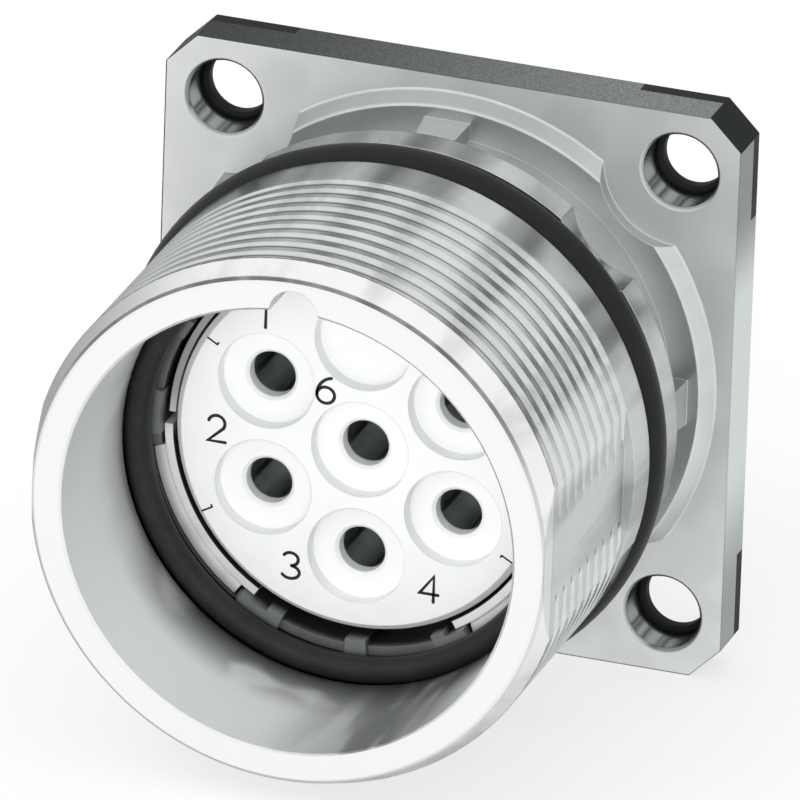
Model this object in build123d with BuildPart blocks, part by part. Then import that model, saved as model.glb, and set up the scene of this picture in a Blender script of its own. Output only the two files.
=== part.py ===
from build123d import *
import os

# Panel receptacle of a circular connector: square flange, threaded barrel, six socket contacts.
# The connector's axis is Y and its mating side looks towards -Y. The flange's back, which lies
# on the panel, is at y = 0, and +Z is up. Angles are seen from the mating side, from 3 o'clock
# towards 12 o'clock. All sizes are in millimetres.

os.makedirs("parts", exist_ok=True)

# Coupling thread, with flats along the casting's parting lines. The shell has the thread's root
# between two lands of its outer size, and the other radii follow from the thread's.
thread_r = 11.5
thread_depth = 0.4
thread_land = 1.9
parting_flat_depth = 0.5

# Flange and its four screws, with a round pad in front that the barrel stands on
flange_margin = 1.0
flange_t = 2.4
flange_chamfer = 1.35
screw_inset = 2.6
screw_hole_r = 1.6
hole_edge_chamfer = 0.15
screw_head_r = 3.3
pad_h = 0.65
pad_margin = 0.35
pad_slope = 0.55

# Barrel. Each value called front or back is a distance ahead of the flange's front face.
barrel_h = 19.8
barrel_wall = 1.8
rim_inset = 0.65
rim_chamfer_w = 0.25
rim_chamfer_h = 0.3
lead_in_h = 1.3
seal_groove_w = 2.1
seal_groove_back = 5.5
collar_h = 1.5
neck_depth = 1.4
rib_h = 0.7
rib_root = 0.6
rib_w = 2.0
rib_taper = 5.0
keyway_r = 1.03
keyway_wall = 0.18
keyway_land = 0.5

# Bore for the mating half, and the lip that holds the insert
bore_chamfer = 0.12
lip_front = 11.05
lip_t = 0.25
lip_overhang = 0.15
slide_fit = 0.05

# Body behind the flange
spigot_wall = 0.75
spigot_h = 5.0
spigot_chamfer = 0.4

# Seals
outer_seal_d = 1.9
outer_seal_proud = 0.35
inner_seal_d = 1.14
inner_seal_cover = 0.28
inner_seal_play = 0.02
undercut_depth = 0.18
undercut_w = 1.25
undercut_slope_h = 0.4
gasket_t = 0.7
gasket_pad = 5.0
gasket_lip_w = 1.3
gasket_play = 0.1

# Insert, coding ring and shield. The insert's face lies behind the lip's front.
insert_recess = 0.45
insert_margin = 1.0
insert_chamfer = 0.25
insert_nose_h = 4.6
insert_collar_h = 3.4
pocket_r = 2.1
pocket_depth = 0.65
entry_h = 0.7
entry_chamfer = 0.14
coding_tooth_h = 0.45
coding_tooth_play = 0.3
coding_wall = 0.35
coding_root_h = 2.4
coding_strip_t = 0.08
coding_strips = [(242.5, 13), (300.7, 11.5), (177.5, 13), (2.5, 13), (150.5, 6), (29.5, 6)]
coding_teeth = [(247, 4.8), (296.8, 4.2), (271.6, 6.2)]
shield_play = 0.12
shield_t = 0.38
shield_recess = 0.1
shield_upper_recess = 0.4
shield_upper_t = 0.28
shield_ledge_recess = 0.25
shield_ledge_rise = 0.3
shield_ledge_h = 0.7
shield_base_h = 1.3
shield_tongues = [(210.5, 57), (329.5, 57)]
shield_upper_tongues = [(155, 48), (25, 48)]
shield_ledges = [(211.5, 46), (328.5, 46)]
window_play = 1.5

# Contacts: five on a ring, one in the middle, and a blank place at 12 o'clock
contact_inset = 3.25
ring_angles = [150, 210, 270, 330, 30]
blank_angle = 90
socket_bore_r = 1.0
socket_wall = 0.34
socket_depth = 6.5
slot_w = 0.24
slot_depth = 5.0
slot_turn = 20
sleeve_t = 0.16
sleeve_play = 0.02
sleeve_h = 4.8
sleeve_gap = 0.7
shoulder_r = 1.7
shoulder_h = 0.6
tail_r = 1.25
tail_bore_r = 0.85
tail_bore_depth = 3.2
tail_h = 5.0
retainer_t = 0.9
retainer_w = 1.1
retainer_bite = 0.3
retainer_gap = 50

# Sizes that follow from the ones above: flange and barrel
flange_side = 2 * (thread_r + flange_margin)
screw_spacing = flange_side - 2 * screw_inset
hole_ring = GridLocations(screw_spacing, screw_spacing, 2, 2)
pad_foot_r = thread_r + pad_margin
pad_top_r = pad_foot_r - pad_slope
neck_r = thread_r - neck_depth
rib_r = neck_r + rib_h
rim_r = thread_r - rim_inset
rim_chamfer_r = rim_r + rim_chamfer_w
bore_r = thread_r - barrel_wall
seal_groove_front = seal_groove_back + seal_groove_w
thread_root_r = thread_r - thread_depth
thread_front = barrel_h - lead_in_h
thread_back = seal_groove_front + thread_land
outer_seal_r = thread_r + outer_seal_proud
seal_groove_r = outer_seal_r - outer_seal_d
collar_back = seal_groove_back - collar_h
undercut_r = bore_r + undercut_depth
inner_seal_mid_r = undercut_r - inner_seal_play - inner_seal_d / 2
lip_r = inner_seal_mid_r - inner_seal_d / 2 + inner_seal_cover
lip_back = lip_front - lip_t
seat_r = lip_r + lip_overhang
undercut_front = lip_front + undercut_w
keyway_back = undercut_front + keyway_land
spigot_r = seat_r + spigot_wall

# Sizes that follow: insert, coding ring, shield and contacts
held_r = seat_r - slide_fit
ledge_r = lip_r - slide_fit
insert_r = lip_r - insert_margin
insert_front = lip_front - insert_recess
insert_collar_front = insert_front - insert_nose_h
insert_back = insert_collar_front - insert_collar_h
coding_tooth_r = insert_r + coding_tooth_play
coding_in_r = ledge_r - coding_wall
coding_front = insert_front + coding_tooth_h
shield_r = insert_r + shield_play
shield_out_r = shield_r + shield_t
shield_front = insert_front - shield_recess
shield_upper_front = insert_front - shield_upper_recess
shield_ledge_foot = insert_front - shield_ledge_recess
shield_ledge_front = shield_ledge_foot + shield_ledge_rise
shield_ledge_back = shield_ledge_foot - shield_ledge_h
window_in_r = coding_in_r - coding_strip_t
window_out_r = ledge_r + slide_fit
contact_ring_r = insert_r - contact_inset
pocket_floor = insert_front - pocket_depth
contact_front = pocket_floor - entry_h
sleeve_foot = insert_back + sleeve_gap
socket_r = socket_bore_r + socket_wall
sleeve_in_r = socket_r + sleeve_play
sleeve_r = sleeve_in_r + sleeve_t
cavity_r = sleeve_r + sleeve_play
retainer_y = spigot_h - 2 * retainer_t


def ahead(distance):
    """Y of a plane that lies this far ahead of the flange's front face."""
    return -(flange_t + distance)


def facing(distance):
    """Plane ahead of the flange's front face, looking towards the mating side."""
    return Plane.XZ.offset(flange_t + distance)


def ring_sector(inner_r, outer_r, mid_angle, span):
    """Flat piece of a ring, for a part that fills only part of the circle."""
    start = mid_angle - span / 2
    with BuildSketch(Plane.XY) as sector:
        with BuildLine():
            outer = CenterArc((0, 0), outer_r, start, span)
            inner = CenterArc((0, 0), inner_r, start, span)
            Line(outer @ 0, inner @ 0)
            Line(outer @ 1, inner @ 1)
        make_face()
    return sector.sketch


# Places of the six contacts in the plane of the insert, the middle one last
contact_points = [Vector(contact_ring_r, 0).rotate(Axis.Z, angle) for angle in ring_angles]
contact_points.append(Vector(0, 0))
blank_point = Vector(contact_ring_r, 0).rotate(Axis.Z, blank_angle)


# Shell: flange, barrel, collar and rear body are one casting
with BuildPart() as shell:
    with BuildSketch(Plane.XZ) as plate:
        Rectangle(flange_side, flange_side)
        chamfer(plate.vertices(), flange_chamfer)
    extrude(amount=flange_t)
    with BuildSketch(Plane.XY):
        with BuildLine():
            Polyline(
                (seat_r, spigot_h),
                (spigot_r - spigot_chamfer, spigot_h),
                (spigot_r, spigot_h - spigot_chamfer),
                (spigot_r, -gasket_t),
                (pad_foot_r, -gasket_t),
                (pad_foot_r, ahead(0)),
                (pad_top_r, ahead(pad_h)),
                (neck_r, ahead(pad_h)),
                (neck_r, ahead(collar_back)),
                (thread_r, ahead(collar_back)),
                (thread_r, ahead(seal_groove_back)),
                (seal_groove_r, ahead(seal_groove_back)),
                (seal_groove_r, ahead(seal_groove_front)),
                (thread_r, ahead(seal_groove_front)),
                (thread_r, ahead(thread_back)),
                (thread_root_r, ahead(thread_back)),
                (thread_root_r, ahead(thread_front)),
                (thread_r, ahead(thread_front)),
                (rim_chamfer_r, ahead(barrel_h - rim_chamfer_h)),
                (rim_r, ahead(barrel_h)),
                (bore_r + bore_chamfer, ahead(barrel_h)),
                (bore_r, ahead(barrel_h - bore_chamfer)),
                (bore_r, ahead(undercut_front)),
                (undercut_r, ahead(undercut_front - undercut_slope_h)),
                (undercut_r, ahead(lip_front)),
                (lip_r, ahead(lip_front)),
                (lip_r, ahead(lip_back)),
                (seat_r, ahead(lip_back)),
                close=True,
            )
        make_face()
    revolve(axis=Axis.Y)
    # Four ribs between the pad and the collar
    with BuildSketch(facing(pad_h)):
        with PolarLocations((rib_r + neck_r - rib_root) / 2, 4):
            Rectangle(rib_r - neck_r + rib_root, rib_w)
    extrude(amount=collar_back - pad_h, taper=rib_taper)
    # The seat runs right through, with a groove for the retaining ring
    with BuildSketch(facing(lip_back)):
        Circle(seat_r)
    extrude(amount=-(lip_back + flange_t + spigot_h), mode=Mode.SUBTRACT)
    with BuildSketch(Plane.XZ.offset(-retainer_y)):
        Circle(seat_r + retainer_bite)
    extrude(amount=-retainer_t, mode=Mode.SUBTRACT)
    # Room for the screw heads, cut from the pad and the collar
    with BuildSketch(facing(0)):
        with hole_ring:
            Circle(screw_head_r)
    extrude(amount=seal_groove_back + seal_groove_w / 2, mode=Mode.SUBTRACT)
    with BuildSketch(facing(0)):
        with hole_ring:
            Circle(screw_hole_r)
    extrude(amount=-flange_t, mode=Mode.SUBTRACT)
    hole_edges = shell.edges().filter_by(GeomType.CIRCLE).filter_by(lambda e: e.radius == screw_hole_r)
    chamfer(hole_edges.group_by(Axis.Y)[0], hole_edge_chamfer)
    # Pockets in the back for the gasket: its middle and its four corner pads
    with BuildSketch(Plane.XZ):
        Rectangle(flange_side - 2 * gasket_lip_w, flange_side - 2 * gasket_lip_w)
        with GridLocations(flange_side - gasket_pad, flange_side - gasket_pad, 2, 2):
            Rectangle(gasket_pad, gasket_pad)
        Circle(spigot_r, mode=Mode.SUBTRACT)
    extrude(amount=gasket_t, mode=Mode.SUBTRACT)
    # Keyway at 12 o'clock in the bore
    with BuildSketch(facing(barrel_h)):
        with Locations((0, rim_r - keyway_wall - keyway_r)):
            Circle(keyway_r)
    extrude(amount=keyway_back - barrel_h, mode=Mode.SUBTRACT)
    # Flats at 3 and 9 o'clock, from the rim to the end of the thread
    with BuildSketch(facing(barrel_h)):
        with Locations((thread_r, 0), (-thread_r, 0)):
            Rectangle(2 * parting_flat_depth, thread_r)
    extrude(amount=thread_back - barrel_h, mode=Mode.SUBTRACT)

shell.part.label = "shell"
export_step(shell.part, "parts/shell.step")

# Seal in the groove between the thread and the collar
with BuildPart() as outer_seal:
    with BuildSketch(Plane.XY):
        with Locations((outer_seal_r - outer_seal_d / 2, ahead(seal_groove_back + seal_groove_w / 2))):
            Circle(outer_seal_d / 2)
    revolve(axis=Axis.Y)

outer_seal.part.label = "outer_seal"
export_step(outer_seal.part, "parts/outer_seal.step")

# Seal in the bore, lying on the lip in front of the insert
with BuildPart() as inner_seal:
    with BuildSketch(Plane.XY):
        with Locations((inner_seal_mid_r, ahead(lip_front + inner_seal_d / 2))):
            Circle(inner_seal_d / 2)
    revolve(axis=Axis.Y)

inner_seal.part.label = "inner_seal"
export_step(inner_seal.part, "parts/inner_seal.step")

# Gasket between flange and panel, flush with the flange's back
with BuildPart() as flange_gasket:
    with BuildSketch(Plane.XZ) as gasket_outline:
        Rectangle(flange_side, flange_side)
        chamfer(gasket_outline.vertices(), flange_chamfer)
        with PolarLocations(flange_side / 2, 4):
            Rectangle(2 * gasket_lip_w, flange_side - 2 * gasket_pad, mode=Mode.SUBTRACT)
        Circle(spigot_r + gasket_play, mode=Mode.SUBTRACT)
        with hole_ring:
            Circle(screw_hole_r, mode=Mode.SUBTRACT)
    extrude(amount=gasket_t)

flange_gasket.part.label = "flange_gasket"
export_step(flange_gasket.part, "parts/flange_gasket.step")

# Insert: front insulator with six holes, seven pockets and a collar that the rings sit on
with BuildPart() as contact_insert:
    with BuildSketch(facing(insert_back)):
        Circle(held_r)
    extrude(amount=insert_collar_front - insert_back)
    with BuildSketch(facing(insert_collar_front)):
        Circle(insert_r)
    extrude(amount=insert_front - insert_collar_front)
    chamfer(contact_insert.faces().sort_by(Axis.Y)[0].edges(), insert_chamfer)
    with BuildSketch(facing(insert_front)):
        with Locations(*contact_points, blank_point):
            Circle(pocket_r)
    extrude(amount=-pocket_depth, mode=Mode.SUBTRACT)
    with BuildSketch(facing(pocket_floor)):
        with Locations(*contact_points):
            Circle(socket_bore_r)
    extrude(amount=-entry_h, mode=Mode.SUBTRACT)
    hole_rims = contact_insert.edges().filter_by(GeomType.CIRCLE)
    entry_edges = hole_rims.filter_by(lambda e: e.radius == socket_bore_r)
    chamfer(entry_edges.group_by(Axis.Y)[0], entry_chamfer)
    with BuildSketch(facing(contact_front)):
        with Locations(*contact_points):
            Circle(cavity_r)
    extrude(amount=insert_back - contact_front, mode=Mode.SUBTRACT)

contact_insert.part.label = "contact_insert"
export_step(contact_insert.part, "parts/contact_insert.step")

# Coding ring: black ring with raised strips and teeth round the insert
with BuildPart() as coding_ring:
    with BuildSketch(facing(insert_collar_front)):
        Circle(held_r)
        Circle(coding_in_r, mode=Mode.SUBTRACT)
    extrude(amount=lip_back - insert_collar_front)
    with BuildSketch(facing(lip_back - coding_root_h)):
        Circle(ledge_r)
        Circle(coding_in_r, mode=Mode.SUBTRACT)
    extrude(amount=coding_root_h + insert_front - lip_back)
    with BuildSketch(facing(insert_front - coding_root_h)):
        for mid_angle, span in coding_strips:
            add(ring_sector(coding_in_r - coding_strip_t, ledge_r, mid_angle, span))
        for mid_angle, span in coding_teeth:
            add(ring_sector(coding_tooth_r, ledge_r, mid_angle, span))
    extrude(amount=coding_root_h + coding_tooth_h)
    # Windows for the shield's outer ledges
    with BuildSketch(facing(coding_front)):
        for mid_angle, span in shield_ledges:
            add(ring_sector(window_in_r, window_out_r, mid_angle, span + window_play))
    extrude(amount=shield_ledge_back - coding_front, mode=Mode.SUBTRACT)

coding_ring.part.label = "coding_ring"
export_step(coding_ring.part, "parts/coding_ring.step")

# Shield ring: bright metal round the insert, with two long and two upper tongues. The ledges
# outside the long ones rise towards the shell.
with BuildPart() as shield_ring:
    with BuildSketch(facing(shield_ledge_back)):
        for mid_angle, span in shield_ledges:
            add(ring_sector(shield_out_r - shield_t / 2, ledge_r, mid_angle, span))
    extrude(amount=shield_ledge_front - shield_ledge_back)
    with BuildSketch(Plane.XY):
        with BuildLine():
            Polyline(
                (shield_r, ahead(shield_ledge_foot)),
                (shield_out_r, ahead(shield_ledge_foot)),
                (ledge_r, ahead(shield_ledge_front)),
                (shield_r, ahead(shield_ledge_front)),
                close=True,
            )
        make_face()
    revolve(axis=Axis.Y, mode=Mode.SUBTRACT)
    with BuildSketch(facing(insert_collar_front)):
        Circle(shield_out_r)
        Circle(shield_r, mode=Mode.SUBTRACT)
    extrude(amount=shield_base_h)
    with BuildSketch(facing(insert_collar_front)):
        for mid_angle, span in shield_tongues:
            add(ring_sector(shield_r, shield_out_r, mid_angle, span))
    extrude(amount=shield_front - insert_collar_front)
    with BuildSketch(facing(insert_collar_front)):
        for mid_angle, span in shield_upper_tongues:
            add(ring_sector(shield_r, shield_r + shield_upper_t, mid_angle, span))
    extrude(amount=shield_upper_front - insert_collar_front)

shield_ring.part.label = "shield_ring"
export_step(shield_ring.part, "parts/shield_ring.step")

# Rear insulator, with a stepped hole for each contact
with BuildPart() as rear_insulator:
    with BuildSketch(facing(insert_back)):
        Circle(held_r)
    extrude(amount=-(insert_back + flange_t + retainer_y))
    with BuildSketch(facing(insert_back)):
        with Locations(*contact_points):
            Circle(shoulder_r + sleeve_play)
    extrude(amount=-shoulder_h, mode=Mode.SUBTRACT)
    with BuildSketch(facing(insert_back)):
        with Locations(*contact_points):
            Circle(tail_r + sleeve_play)
    extrude(amount=-(insert_back + flange_t + retainer_y), mode=Mode.SUBTRACT)

rear_insulator.part.label = "rear_insulator"
export_step(rear_insulator.part, "parts/rear_insulator.step")

# Retaining ring: open spring ring behind the rear insulator
with BuildPart() as retaining_ring:
    with BuildSketch(Plane.XZ.offset(-retainer_y)):
        add(ring_sector(seat_r - retainer_w, seat_r + retainer_bite, blank_angle + 180, 360 - retainer_gap))
    extrude(amount=-retainer_t)

retaining_ring.part.label = "retaining_ring"
export_step(retaining_ring.part, "parts/retaining_ring.step")

# Socket contacts, each with its own spring sleeve
for number, point in enumerate(contact_points, start=1):
    with BuildPart() as socket_contact:
        with BuildSketch(facing(contact_front)):
            with Locations(point):
                Circle(socket_r)
        extrude(amount=insert_back - contact_front)
        with BuildSketch(facing(insert_back)):
            with Locations(point):
                Circle(shoulder_r)
        extrude(amount=-shoulder_h)
        with BuildSketch(facing(insert_back - shoulder_h)):
            with Locations(point):
                Circle(tail_r)
        extrude(amount=-(insert_back - shoulder_h + flange_t + spigot_h + tail_h))
        with BuildSketch(facing(contact_front)):
            with Locations(point):
                Circle(socket_bore_r)
        extrude(amount=-socket_depth, mode=Mode.SUBTRACT)
        with BuildSketch(facing(contact_front)):
            with Locations(point):
                Rectangle(2 * socket_r, slot_w, rotation=slot_turn)
                Rectangle(slot_w, 2 * socket_r, rotation=slot_turn)
        extrude(amount=-slot_depth, mode=Mode.SUBTRACT)
        with BuildSketch(Plane.XZ.offset(-(spigot_h + tail_h))):
            with Locations(point):
                Circle(tail_bore_r)
        extrude(amount=tail_bore_depth, mode=Mode.SUBTRACT)

    socket_contact.part.label = f"socket_contact_{number}"
    export_step(socket_contact.part, f"parts/socket_contact_{number}.step")

    with BuildPart() as spring_sleeve:
        with BuildSketch(facing(sleeve_foot)):
            with Locations(point):
                Circle(sleeve_r)
                Circle(sleeve_in_r, mode=Mode.SUBTRACT)
        extrude(amount=sleeve_h)

    spring_sleeve.part.label = f"spring_sleeve_{number}"
    export_step(spring_sleeve.part, f"parts/spring_sleeve_{number}.step")
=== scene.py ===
"""Dresses the packed model of a circular connector: finishes, thread, printed numbers and studio."""
import math

import bmesh
import bpy
from bpy.props import FloatProperty, FloatVectorProperty, IntProperty, PointerProperty
from mathutils import Matrix, Vector


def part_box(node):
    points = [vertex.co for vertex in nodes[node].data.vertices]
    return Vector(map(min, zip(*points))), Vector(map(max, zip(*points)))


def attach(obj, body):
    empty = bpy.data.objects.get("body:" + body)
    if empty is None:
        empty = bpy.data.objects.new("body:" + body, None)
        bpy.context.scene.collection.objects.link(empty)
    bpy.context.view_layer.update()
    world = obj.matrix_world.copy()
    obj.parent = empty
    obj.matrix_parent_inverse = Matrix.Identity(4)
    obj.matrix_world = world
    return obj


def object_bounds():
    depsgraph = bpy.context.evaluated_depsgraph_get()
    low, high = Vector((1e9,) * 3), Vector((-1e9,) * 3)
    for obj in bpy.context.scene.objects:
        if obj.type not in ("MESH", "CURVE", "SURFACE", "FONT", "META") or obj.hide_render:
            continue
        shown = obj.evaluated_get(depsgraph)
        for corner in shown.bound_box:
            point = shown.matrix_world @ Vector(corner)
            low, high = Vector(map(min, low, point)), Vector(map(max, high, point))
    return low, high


bl_info = {
    "name": "Circular connector looks",
    "version": (1, 0, 0),
    "blender": (4, 5, 0),
    "location": "3D View > Sidebar > Connector",
    "description": "Finishes, coupling thread, printed numbers and studio for a panel receptacle",
    "category": "Object",
}

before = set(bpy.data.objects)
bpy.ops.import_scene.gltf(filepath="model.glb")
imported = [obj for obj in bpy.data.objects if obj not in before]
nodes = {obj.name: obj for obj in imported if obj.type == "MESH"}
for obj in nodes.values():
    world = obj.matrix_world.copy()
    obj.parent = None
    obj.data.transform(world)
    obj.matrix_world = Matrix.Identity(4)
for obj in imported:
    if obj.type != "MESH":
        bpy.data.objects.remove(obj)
cad_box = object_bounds()

MM = 0.001
BODY = "root"
# Y of the flange's front face. The barrel stands ahead of it, towards -Y.
FLANGE_FRONT = -2.4 * MM

# Places on the shell in millimetres: radii, and distances ahead of the flange's front face
FLANGE_HALF = cad_box[1].x / MM
CORNER_AT = 2 * FLANGE_HALF - 1.35
HOLE_R = 1.6
PAD_TOP = 0.65
COLLAR_BACK = 4.0
SEAL_FRONT = 7.6
LIP_FRONT = 11.05
LIP_R = 9.0
SHIELD_R = 8.5
BORE_BACK = 12.2
BORE_R = 9.7
RIM_CHAMFER = 19.5
RIM_R = 10.85

# Middle of each printed number, to the right of the axis and above it, in millimetres
NUMBERS_AT = {"1": (-4.27, 5.3), "2": (-6.2, -0.1), "3": (-2.8, -5.65),
              "4": (3.2, -5.65), "5": (6.55, -0.1), "6": (-1.54, 2.4)}
# Angles of the index ticks round the axis, in degrees
TICKS_AT = (30, 150, 210, 330)

# The lamps' side and aim, then each one's place and colour. Lengths are in metres, and the power of
# each lamp is among the stage's settings.
LAMP_SIDE = 0.5
LAMP_AIM = (0.0, -0.01, 0.0)
LAMPS = {"key": ((-0.35, -0.45, 0.65), (1.0, 0.995, 0.985)),
         "front": ((0.1, -0.8, 0.15), (0.99, 0.995, 1.0))}

# Half the floor's side and the camera's clipping distances in metres, and its sensor in millimetres
FLOOR_REACH = 3.0
CLIP = (0.01, 20.0)
SENSOR_WIDTH = 36.0


def ahead(distance):
    """Y of a plane that lies this far ahead of the flange's front face."""
    return FLANGE_FRONT - distance


def length(name, description, millimetres):
    """A length property in metres, with its default given in millimetres."""
    return FloatProperty(name=name, description=description, default=millimetres * MM,
                         min=0.0, precision=5, subtype="DISTANCE", unit="LENGTH")


def angle(name, description, degrees):
    """An angle property with its default given in degrees."""
    return FloatProperty(name=name, description=description, default=math.radians(degrees),
                         subtype="ANGLE", unit="ROTATION")


def tone(name, description, colour):
    """A colour property."""
    return FloatVectorProperty(name=name, description=description, default=colour,
                               size=3, min=0.0, max=1.0, subtype="COLOR")


def number(name, description, value, **more):
    """A property that is a number from 0 up. More holds its unit or subtype."""
    return FloatProperty(name=name, description=description, default=value, min=0.0, **more)


def share(name, description, value):
    """A property from 0 to 1."""
    return FloatProperty(name=name, description=description, default=value,
                         min=0.0, max=1.0, subtype="FACTOR")


class ConnectorThread(bpy.types.PropertyGroup):
    """Sizes of the coupling thread that stands on the casting's root cylinder"""

    outer_r: length("Outer radius", "Radius of the thread's crests", 11.5)
    root_r: length("Root radius", "Radius at the bottom of the groove", 11.1)
    pitch: length("Pitch", "Distance from one turn to the next", 1.0)
    front: length("Front end", "Distance of the thread's front end ahead of the flange", 18.5)
    back: length("Back end", "Distance of the thread's back end ahead of the flange", 9.5)
    groove_top: length("Groove width", "Width of the groove between two crests", 0.62)
    groove_root: length("Root width", "Width of the groove at its bottom", 0.16)
    flat_at: length("Parting flats", "Distance of the two parting flats from the axis", 11.0)
    shoulder: length("Shoulder", "Distance from a groove's edge to the next points on the crest", 0.05)
    cover: length("Cover", "How far the thread's mesh stands off the solid under it", 0.004)
    run_out: number("Run-out", "Part of a turn over which the groove fades at its ends", 0.08)
    steps: IntProperty(name="Steps", description="Steps of the mesh in one turn", default=240, min=24)
    sharp_from: angle("Sharp from", "Angle between two faces from which their edge is sharp", 25.0)


class ConnectorGasket(bpy.types.PropertyGroup):
    """Sizes of the soft lips in the gasket's screw holes"""

    screw_spacing: length("Screw spacing", "Distance between two neighbouring screw holes", 19.8)
    lip_inner_r: length("Lip inner radius", "Radius of the opening that a lip leaves", 1.32)
    lip_outer_r: length("Lip outer radius", "Radius of a lip where it meets the gasket", 1.59)
    lip_round: length("Lip rounding", "Radius of the lip's inner edges", 0.12)
    play: length("Play", "Distance that a lip stays behind the gasket's faces", 0.02)


class ConnectorPrint(bpy.types.PropertyGroup):
    """Sizes of the numbers and ticks printed on the insert"""

    height: length("Number height", "Height of a printed number", 1.15)
    width: length("Number width", "Width of a printed number", 0.8)
    stroke: length("Stroke", "Width of a printed stroke", 0.14)
    tick: length("Tick stroke", "Width of an index tick", 0.08)
    tick_from: length("Tick start", "Distance of a tick's inner end from the axis", 7.25)
    tick_to: length("Tick end", "Distance of a tick's outer end from the axis", 7.74)
    tick_hook: length("Tick hook", "Reach of the small hook at a tick's inner end", 0.1)
    proud: length("Ink thickness", "How far the print stands out of the insert's face", 0.01)
    colour: tone("Ink", "Colour of the print", (0.012, 0.013, 0.014))


class ConnectorFinish(bpy.types.PropertyGroup):
    """Colours and roughness of the connector's finishes"""

    plating: tone("Plating", "Colour of the plated casting", (0.7, 0.72, 0.715))
    # Dull plating is also the tone from which the painted shade and reflections on the casting are made
    plating_dull_and_shade: tone("Dull plating", "Colour of the plating where it is dull", (0.5, 0.52, 0.52))
    cast_face: tone("Cast face", "Colour of the flange's front face", (0.85, 0.87, 0.865))
    bore: tone("Bore", "Colour of the barrel's bore", (0.97, 0.985, 0.98))
    hole_wall: tone("Hole wall", "Colour of the walls of the screw holes", (0.36, 0.38, 0.38))
    turned_face: tone("Turned face", "Colour of the barrel's front face", (0.93, 0.935, 0.93))
    plating_roughness: share("Plating roughness", "Roughness of the plated casting", 0.3)
    edge_skin_and_painted_light: tone("Cast edge", "Colour of the rough cast skin on the flange's edges", (0.1, 0.106, 0.105))
    # The corners' colour is also the tone of the painted shade in the thread's grooves
    corner: tone("Corner", "Colour of the flange's cut corners", (0.05, 0.055, 0.055))
    rubber: tone("Rubber", "Colour of the seals and the gasket", (0.011, 0.012, 0.012))
    black: tone("Black plastic", "Colour of the coding ring", (0.105, 0.11, 0.11))
    white: tone("White plastic", "Colour of the insulators", (0.91, 0.92, 0.915))
    shield: tone("Shield", "Colour of the shield ring's sheet", (0.94, 0.95, 0.95))
    contact: tone("Contacts", "Colour of the plated contacts", (0.78, 0.82, 0.81))
    spring: tone("Spring steel", "Colour of the sleeves and the retaining ring", (0.42, 0.43, 0.44))


class ConnectorStage(bpy.types.PropertyGroup):
    """Camera, light and floor"""

    azimuth: angle("Azimuth", "How far right of the mating axis the camera stands", 18.21)
    elevation: angle("Elevation", "How far above the mating axis the camera stands", 23.37)
    roll: angle("Roll", "Turn of the picture about the view's own axis", 2.03)
    distance: length("Distance", "Distance of the camera from the flange", 1000.0)
    lens: number("Lens", "Focal length in millimetres on a 36 mm sensor", 1090.0, subtype="DISTANCE_CAMERA")
    aim_left: length("Aim left", "Distance of the picture's centre left of the flange's centre", 1.8)
    aim_down: length("Aim down", "Distance of the picture's centre below the flange's centre", 1.83)
    floor: tone("Floor", "Colour of the floor", (0.94, 0.94, 0.94))
    whiteness: share("Whiteness", "How much of the floor's tone is plain white where it is seen", 0.7)
    dark_back: tone("Dark strips", "Tone of the darker strips at the studio's far end", (0.02, 0.024, 0.026))
    plain_back: share("Plain back", "How dark the far end is between the strips", 0.12)
    strips_turn: angle("Strips' turn", "Turns the strips round the mating axis", 40.0)
    daylight: number("Surrounding light", "Strength of the light from the pale surroundings", 0.95)
    key: number("Key lamp", "Power of the lamp at upper left", 1.8, unit="POWER")
    front: number("Front lamp", "Power of the lamp in front", 2.9, unit="POWER")


def new_node(tree, kind, inputs=None, **settings):
    """Adds a shader node with its settings. Each input is a socket to link or a plain value."""
    node = tree.nodes.new(kind)
    for key, value in settings.items():
        setattr(node, key, value)
    for key, operand in (inputs or {}).items():
        if isinstance(operand, bpy.types.NodeSocket):
            tree.links.new(operand, node.inputs[key])
        else:
            node.inputs[key].default_value = operand
    return node


def math_node(tree, operation, *operands):
    """Adds a Math node and returns its output. Each operand is a socket or a number."""
    return new_node(tree, "ShaderNodeMath", dict(enumerate(operands)), operation=operation).outputs[0]


def smooth_step(tree, value, low, high, out_low=0.0, out_high=1.0):
    """Adds a smooth Map Range from low and high to out_low and out_high."""
    node = new_node(tree, "ShaderNodeMapRange", {"Value": value, "From Min": low, "From Max": high,
                                                 "To Min": out_low, "To Max": out_high},
                    interpolation_type="SMOOTHSTEP", clamp=True)
    return node.outputs["Result"]


def zone(tree, *steps):
    """Product of masks. Each is a socket, or what smooth_step takes after the tree."""
    masks = [step if isinstance(step, bpy.types.NodeSocket) else smooth_step(tree, *step) for step in steps]
    product = masks[0]
    for mask in masks[1:]:
        product = math_node(tree, "MULTIPLY", product, mask)
    return product


def mix_colour(tree, factor, first, second):
    """Adds a Mix node, whose colours are at 6 and 7. Each colour is a socket or three numbers."""
    first, second = (colour if isinstance(colour, bpy.types.NodeSocket) else (*colour, 1.0)
                     for colour in (first, second))
    return new_node(tree, "ShaderNodeMix", {0: factor, 6: first, 7: second}, data_type="RGBA").outputs[2]


def scaled(tree, vector, factor):
    """Adds a Scale node. The vector is a socket or three numbers, and the factor a socket or a number."""
    return new_node(tree, "ShaderNodeVectorMath", {0: vector, "Scale": factor}, operation="SCALE").outputs[0]


def noise(tree, place, scale, detail, **more):
    """Adds a Noise Texture and returns its value. More holds its other sockets by name."""
    return new_node(tree, "ShaderNodeTexNoise", {"Vector": place, "Scale": scale, "Detail": detail, **more}
                    ).outputs["Fac"]


def toned(colour, factor):
    """A colour with each part multiplied by a factor."""
    return [part * factor for part in colour]


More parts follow.
